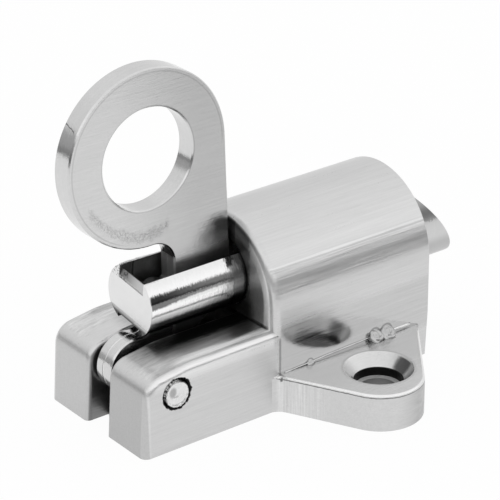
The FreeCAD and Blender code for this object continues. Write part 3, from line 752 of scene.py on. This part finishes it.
def make_plate():
    """Tone is belt lines times painted shade, painted edge lines, pits and a crack. Faces are satin, rims and
    leg smoother.
    """
    material, finish = new_finish("brushed_plate")
    place = finish.place()
    x, y, z = finish.split(place)
    fine, middle, broad = belt_lines(finish, place)
    mottle = finish.noise(place, (0.9, 0.9, 0.9), detail=5.0, roughness=0.7)
    pits = finish.noise(place, (3.0, 3.0, 3.0), detail=6.0, roughness=0.85)
    on_face = abs(y).ramp(PLATE_HALF - 0.12, PLATE_HALF - 0.02)
    on_rim = 1.0 - on_face

    arc_z = PIT_ARC[0] + x * PIT_ARC[1] + x * x * PIT_ARC[2]
    off_arc = abs(z - arc_z + (mottle - 0.5) * 3.0)
    pitted = off_arc.ramp(1.7, 0.3) * x.between(-42.2, -28.0, 0.8) * pits.ramp(0.42, 0.70) * on_face
    crack = on_rim * (z - y * 0.25 + (mottle - 0.5) * 0.8).between(CRACK_Z - 0.05, CRACK_Z + 0.08, 0.05)
    crack = crack * x.ramp(-38.0, -40.0) * y.ramp(-1.2, -0.8)
    parting = abs(y).ramp(0.22, 0.06) * on_rim * z.ramp(30.0, 28.0).mixed(0.12, 1.0)
    # Painted shade on the faces, darker towards the arch.
    shade_toward_arch = on_face * x.ramp(-40.0, -20.0) * z.ramp(20.0, 28.0)
    dark, in_slot = leg_darkness(x, z, on_face, mottle)
    # Painted dark reflections along the ring's broken edges; the crack is a real mark.
    dark = dark.at_least(ring_lines(x, z, on_face) * 0.16).at_least(crack * 0.7)

    belt = (fine - 0.5) * 0.09 + (middle - 0.5) * 0.13 + (broad - 0.5) * 0.07 + (mottle - 0.5) * 0.08
    tone = PLATE_TONE * (1.0 + belt) * (1.0 - dark) * (1.0 - pitted * 0.14) * (1.0 - shade_toward_arch * 0.24)
    tone = tone * (1.0 + parting * 0.15)
    smooth_leg = z.ramp(36.0, 33.0) * x.ramp(-28.0, -26.0) * z.ramp(27.5, 29.5)
    rim_in_slot = on_rim * z.ramp(27.5, 26.5) * x.ramp(-31.0, -29.0)
    roughness = on_face.mixed(0.13, 0.22) - smooth_leg * on_face * 0.09 + in_slot * 0.18
    roughness = roughness + (broad - 0.5) * 0.05 + (mottle - 0.5) * 0.06 + rim_in_slot * 0.3
    bump = finish.bump(broad * on_face, 0.008)
    bump = finish.bump(middle * on_face, 0.005, bump)
    bump = finish.bump(fine * on_face, 0.008, bump)
    bump = finish.bump(mottle - pitted * 0.8 + parting * 2.0, 0.02, bump)
    metal(finish, tone, roughness, bump)
    return material


finishes["pull_lever"] = make_plate()
print("lever finish with", len(finishes["pull_lever"].node_tree.nodes), "nodes")

# %% [markdown]
# ## The staked pin and the spring's wire
# The pin's end was peened with a punch: a bright worn middle with a dull dent in it, and a crumbly toothed
# rim where the metal was pushed against the hole. A dark ring of painted shade lies round the pin's edge,
# lighter where crumbly teeth stand. The teeth are noise in polar coordinates about the pin.
# The spring is drawn wire, a little duller than the plated pieces. Two more plain metals serve the flash and
# the droplets of the casting, which the belt never touched. The flash's light grey is partly a painted
# highlight along the seam.

# %% Pin and spring
PIN_R = 2.4
PIN_TONE = 0.80
STAKE_SHIFT = (0.15, -0.25)


def make_pin_finish():
    """Tone is bright grey times a ring of painted shade at the rim and a darker dent. The teeth are noise
    over angle and radius.
    """
    material, finish = new_finish("staked_pin")
    place = finish.place()
    x, _, z = finish.split(place)
    dents = finish.noise(place, (1.6, 1.6, 1.6), detail=4.0, roughness=0.6)
    across = x - (PIN_X + STAKE_SHIFT[0])
    up = z - (PIN_Z + STAKE_SHIFT[1])
    out = radius(across, up)
    angle = finish.signal("ShaderNodeMath", 0, {"operation": "ARCTAN2"}, {0: up, 1: across})
    spoke = finish.signal("ShaderNodeCombineXYZ", 0, inputs={0: angle, 1: out})
    teeth = finish.noise(spoke, (7.0, 0.8, 1.0), detail=3.0, roughness=0.6)
    rim = (out + (teeth - 0.5) * 0.35).ramp(PIN_R - 0.32, PIN_R - 0.18)
    crumbly = rim * (up - across).ramp(0.8, 2.4)
    dull_dent = radius(across + 0.75, (up - 0.45) * 0.8).ramp(0.95, 0.45)
    # Painted shade: a dark ring round the pin's edge, lighter where crumbly teeth stand.
    edge = rim * (1.0 - crumbly * teeth.ramp(0.42, 0.62) * 0.75)
    tone = PIN_TONE * (1.0 - edge * 0.95) * (1.0 + (dents - 0.5) * 0.3) * (1.0 - dull_dent * 0.45)
    roughness = 0.24 + (dents - 0.5) * 0.15
    metal(finish, tone, roughness, finish.bump(dents + teeth * rim, 0.06))
    return material


def make_plain_finish(name, tone, roughness, grains, depth):
    """Plain metal: one even noise moves its tone, its roughness and a little bump."""
    material, finish = new_finish(name)
    grain = finish.noise(finish.place(), (grains, grains, grains), detail=3.0)
    shift = (grain - 0.5) * 0.1
    metal(finish, tone * (1.0 + shift), roughness + shift, finish.bump(grain, depth))
    return material


finishes["cross_pin"] = make_pin_finish()
finishes["compression_spring"] = make_plain_finish("drawn_wire", 0.45, 0.28, 1.5, 0.004)
# The flash's light grey is partly a painted highlight along the seam.
bright_flash = make_plain_finish("bright_flash", 0.82, 0.20, 2.5, 0.02)
cast_drop = make_plain_finish("cast_drop", 0.50, 0.24, 2.0, 0.05)
for name, material in finishes.items():
    nodes[name].data.materials.clear()
    nodes[name].data.materials.append(material)
print("finishes", sorted(finishes))

# %% [markdown]
# ## Surfaces from arrays
# The fine shapes below are grids: a function of two parameters gives every point at once as an array, and
# neighbouring rows and columns are joined to four-sided faces. Every one of these shapes goes round, so the
# last column meets the first, and a face with many corners closes each end. The helper then turns the faces
# outwards and hands the mesh to the body that it moves with.

# %% Grid surfaces
def grid_faces(rows, columns):
    """Quads between row i and i + 1 and column j and k, where k is j + 1, or 0 after the last column."""
    i = np.arange(rows - 1)[:, None]
    j = np.arange(columns)[None, :]
    k = (j + 1) % columns
    corners = [i * columns + j, (i + 1) * columns + j, (i + 1) * columns + k, i * columns + k]
    return np.stack(corners, axis=-1).reshape(-1, 4)


def add_piece(name, points, material, body):
    """A mesh from a grid of points in millimetres, closed round its columns and at its first and last row."""
    rows, columns = points.shape[:2]
    faces = grid_faces(rows, columns).tolist()
    faces.append(list(range(columns)))
    faces.append(list(range(rows * columns - 1, (rows - 1) * columns - 1, -1)))
    mesh = bpy.data.meshes.new(name)
    mesh.from_pydata((points.reshape(-1, 3) * MM).tolist(), [], faces)
    mesh.update()
    mesh.shade_smooth()
    mesh.materials.append(material)
    piece = bpy.data.objects.new(name, mesh)
    bpy.context.scene.collection.objects.link(piece)
    turn_outwards(mesh)
    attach(piece, body)
    print(name, len(mesh.polygons), "faces")
    return piece


def turn_outwards(mesh):
    """Recalculates the face normals, so that a closed shape faces out."""
    work = bmesh.new()
    work.from_mesh(mesh)
    bmesh.ops.recalc_face_normals(work, faces=work.faces)
    work.to_mesh(mesh)
    work.free()


def tube(path, radii, sides=16):
    """A circle carried along a path: two directions square to each step span the circle's plane."""
    step = np.gradient(path, axis=0)
    along = step / np.linalg.norm(step, axis=1, keepdims=True)
    helper = np.where(np.abs(along[:, :1]) > 0.9, [[0.0, 0.0, 1.0]], [[1.0, 0.0, 0.0]])
    first = np.cross(along, helper)
    first /= np.linalg.norm(first, axis=1, keepdims=True)
    second = np.cross(along, first)
    angle = np.linspace(0.0, 2.0 * np.pi, sides, endpoint=False)[None, :, None]
    ring = first[:, None, :] * np.cos(angle) + second[:, None, :] * np.sin(angle)
    return path[:, None, :] + ring * np.broadcast_to(radii, (len(path),))[:, None, None]


print("grid tools ready: a 3 by 4 grid has", len(grid_faces(3, 4)), "faces round it")

# %% [markdown]
# ## The coil spring
# In the packed model the spring's wire has a few flats, to keep it light. The real one is round wire, so a
# circle follows the same helix here: close turns at both ends and wider turns between. It stands on the
# bore's floor and moves with the housing; the real spring shortens towards that floor when the bolt goes in.

# %% Spring
WIRE_R = 0.6
SPRING_R = 7.615
SPRING_TURNS = 5.5
END_TURNS = 0.75
END_PITCH = 1.7
END_GAP = 0.08
SPRING_STEPS = 440
WIRE_SIDES = 12
BORE_FLOOR_X = -11.0


def spring_path(count):
    """Helix about the bolt's axis. Its rise with each turn is small over the end turns and even between."""
    turn = np.linspace(0.0, SPRING_TURNS, count)
    start = BORE_FLOOR_X + WIRE_R + END_GAP
    length = SHOULDER_X - BORE_FLOOR_X - 2.0 * (WIRE_R + END_GAP)
    knots = [0.0, END_TURNS, SPRING_TURNS - END_TURNS, SPRING_TURNS]
    rises = [0.0, END_TURNS * END_PITCH, length - END_TURNS * END_PITCH, length]
    rise = np.interp(turn, knots, rises)
    angle = 2.0 * np.pi * turn
    return np.stack([start + rise, SPRING_R * np.cos(angle), AXIS_Z + SPRING_R * np.sin(angle)], axis=1)


coil = tube(spring_path(SPRING_STEPS), WIRE_R, WIRE_SIDES)
spring = add_piece("round_wire_spring", coil, finishes["compression_spring"], "housing")
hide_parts("compression_spring")
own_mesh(spring)

# %% [markdown]
# ## Burrs on the stem's end
# The slot was milled after the bar was turned, and the cutter left a thin burr that stands up along both
# edges of the slot, longer and thicker on the far one. Each is a tapered bead whose height wanders, carried
# along its edge.

# %% Slot burr
BURR_ACROSS = 3.55
BURR_REAR_X = -33.95


def from_bolt_frame(points):
    """Turns along, across and above the slot back by the bolt's roll into the latch's frame."""
    x, across, above = points[..., 0], points[..., 1], points[..., 2]
    y = across * np.cos(ROLL) - above * np.sin(ROLL)
    z = AXIS_Z + across * np.sin(ROLL) + above * np.cos(ROLL)
    return np.stack([x, y, z], axis=-1)


def uneven(count, seed, smooth=3):
    """Seeded random numbers from 0 to 1, averaged with their neighbours."""
    values = np.random.default_rng(seed).random(count + 2 * smooth)
    kernel = np.ones(2 * smooth + 1) / (2 * smooth + 1)
    return np.convolve(values, kernel, mode="valid")[:count]


def burr_line(start, end, height, seed, count=90):
    """A bead from start to end in the bolt's frame, thick at its start, thin at its end, and uneven."""
    t = np.linspace(0.0, 1.0, count)[:, None]
    line = np.array(start) * (1.0 - t) + np.array(end) * t
    wander = uneven(count, seed) - 0.5
    line[:, 2] += wander * height * 1.2
    taper = np.sin(np.pi * np.clip(t[:, 0] * 0.9 + 0.1, 0.0, 1.0)) ** 0.4
    return tube(from_bolt_frame(line), height * taper * (0.7 + 0.6 * uneven(count, seed + 1)) + 0.01, 10)


edge_up = float(np.sqrt(STEM_R ** 2 - BURR_ACROSS ** 2))
far_burr = burr_line((BURR_REAR_X, BURR_ACROSS, edge_up), (-27.2, 3.5, edge_up - 0.1), 0.24, 11)
add_piece("slot_burr_far", far_burr, finishes["slide_bolt"], "bolt")
near_burr = burr_line((BURR_REAR_X, -3.5, edge_up - 0.02), (-30.5, -3.5, edge_up - 0.12), 0.12, 21, 60)
add_piece("slot_burr_near", near_burr, finishes["slide_bolt"], "bolt")

# %% [markdown]
# ## Staked pin ends
# The pin's ends were hit with a punch, which left a dent in the middle and pushed a crumbly rim over the
# hole's edge. Each is a disc grid: rings of points whose height is the dent, the rim and some unevenness.

# %% Staked ends
PIN_END_Y = 13.05
STAKE_SIDES = 96
DENT_DEPTH = 0.16
DENT_R = 0.75
RIM_HEIGHT = 0.17
RIM_R = 2.05
RIM_WIDTH = 0.22


def staked_end(side, seed):
    """Height over radius: a round dent in the middle, a raised rim near the edge, then down into the hole."""
    rings = np.concatenate([np.linspace(0.02, 2.1, 20), np.linspace(2.13, 2.34, 6)])
    angle = np.linspace(0.0, 2.0 * np.pi, STAKE_SIDES, endpoint=False)
    jag = uneven(STAKE_SIDES, seed, 1) - 0.5
    r = rings[:, None] * np.ones_like(angle)[None, :]
    lumps = np.sin(angle * 3.0 + seed)[None, :] * 0.05 * (r / 2.0) ** 2
    dent = DENT_DEPTH * np.exp(-((r - 0.15) / DENT_R) ** 2)
    raised = RIM_HEIGHT * np.exp(-((r - RIM_R) / RIM_WIDTH) ** 2) * (0.7 + 1.2 * jag)[None, :]
    height = 0.06 - dent + raised + lumps
    r = r + (rings[:, None] > 2.0) * jag[None, :] * 0.16
    height[-1] = -0.5
    x = PIN_X + STAKE_SHIFT[0] + r * np.cos(angle)
    z = PIN_Z + STAKE_SHIFT[1] + r * np.sin(angle)
    return np.stack([x, side * (PIN_END_Y + height), z], axis=-1)


add_piece("pin_stake_near", staked_end(-1.0, 5), finishes["cross_pin"], "housing")
add_piece("pin_stake_far", staked_end(1.0, 9), finishes["cross_pin"], "housing")

# %% [markdown]
# ## Flash along the flange
# Where the two halves of the mould met, a thin seam of metal runs along the foot of the arch's wall, with a
# few round droplets on it. The seam is a thin tube along measured heights. The droplets are flat dented
# lenses that lean across the corner between the wall and the flange. Their shade on the casting is among its
# thin lines above.

# %% Casting seam
SEAM_OUT = 0.02
SEAM_R_X = [-13.1, 9.0, 10.5, 13.0, 13.7]
SEAM_R = [0.05, 0.05, 0.20, 0.26, 0.10]
SEAM_SEED = 31
DOME_HEIGHT = 0.20


def seam_line(side, seed, count=180):
    """A thin tube along the measured heights, thicker towards the front end, a little uneven everywhere."""
    x = np.linspace(SEAM_X[0], SEAM_X[-1], count)
    z = np.interp(x, SEAM_X, SEAM_Z) + (uneven(count, seed, 2) - 0.5) * 0.05
    path = np.stack([x, np.full(count, side * (WALL_Y + SEAM_OUT)), z], axis=1)
    thick = np.interp(x, SEAM_R_X, SEAM_R)
    return tube(path, thick + 0.08 * uneven(count, seed + 1, 4), 8)


def droplet(x, y, z, size, seed, side):
    """A lens that lies across the corner: over its own plane it is as high as a flat ball, with dents."""
    out = np.concatenate([np.linspace(0.02, 0.9, 12), [0.95, 0.98, 1.0, 1.0]])[:, None]
    around = np.linspace(0.0, 2.0 * np.pi, 36, endpoint=False)[None, :]
    lump = 1.0 + 0.08 * np.sin(3.0 * around + seed) + 0.05 * np.sin(5.0 * around + 2.0 * seed)
    dome = np.sqrt(np.clip(1.0 - out ** 2, 0.0, 1.0)) * DOME_HEIGHT
    swirl = 0.05 * np.sin(2.0 * around + 7.0 * out + seed) + 0.04 * np.cos(3.0 * around - 5.0 * out * seed)
    swirl = swirl * np.sin(np.pi * out)
    height = (dome + swirl) * size
    height[-1] = -0.6 * size
    first = size * out * lump * np.cos(around)
    second = size * out * lump * np.sin(around)
    lean = np.sqrt(0.5)
    dy = side * (second * -lean + height * lean)
    dz = second * lean + height * lean
    return np.stack([x + first, y + dy, z + dz], axis=-1)


for label, side in (("near", -1.0), ("far", 1.0)):
    add_piece("seam_flash_" + label, seam_line(side, SEAM_SEED), bright_flash, "housing")
    for index, (along, out, up, size) in enumerate(DROPLETS):
        drop = droplet(along, side * out, up, size, index + 1.3, side)
        add_piece("seam_droplet_%s_%d" % (label, index), drop, cast_drop, "housing")

# %% [markdown]
# The dressed latch must stay inside the packed model's box.
